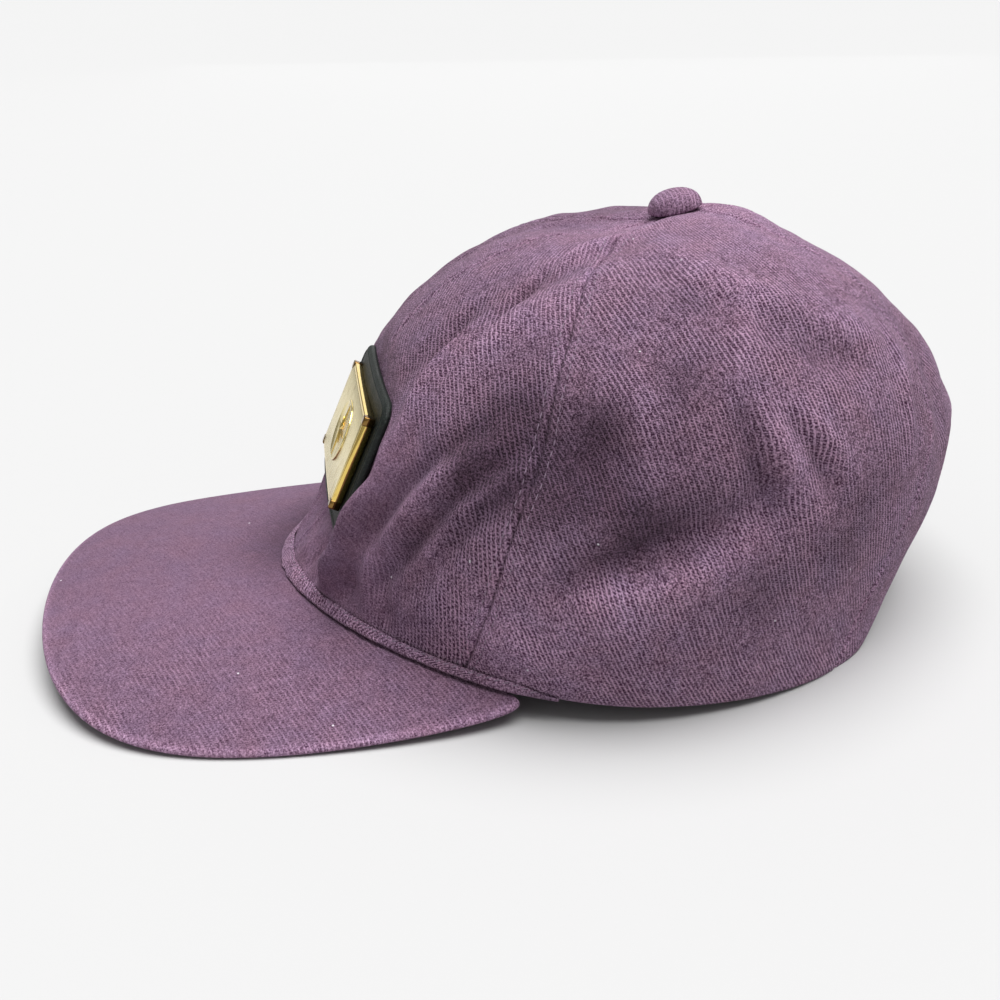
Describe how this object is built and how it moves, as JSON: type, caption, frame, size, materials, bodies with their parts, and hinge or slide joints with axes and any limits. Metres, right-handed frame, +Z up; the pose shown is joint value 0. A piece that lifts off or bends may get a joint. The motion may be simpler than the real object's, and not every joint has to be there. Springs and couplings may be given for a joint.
{
  "type": "strapback cap",
  "caption": "Soft unlined cap of sewn cloth panels with a wide flat peak, a covered top button, a metal badge on a leather patch, and a strap with a metal slide across the rear arch.",
  "frame": {"origin": "On the surface that the cap stands on, under the middle of its width and of its length from the peak's edge to the back of the crown.", "axes": "+Z up, the front of the cap faces -Y, and the wearer's left is +X."},
  "size_m": [0.1822, 0.2646, 0.1161],
  "materials": {
    "twill": "washed cotton twill, matt, faded mauve",
    "badge_leather": "green-black leather, half matt, with an impressed border line",
    "gold_metal": "pale gold plating, polished, lightly worn",
    "nickel_metal": "nickel plating, half bright"
  },
  "bodies": {
    "root": {"panel_front_left": "twill", "panel_front_right": "twill", "panel_side_left": "twill", "panel_side_right": "twill", "panel_back_left": "twill", "panel_back_right": "twill", "peak": "twill", "peak_binding": "twill", "top_button": "twill", "badge_backing": "badge_leather", "badge_plate": "gold_metal", "strap": "twill", "strap_slide": "nickel_metal"}
  },
  "joints": []
}
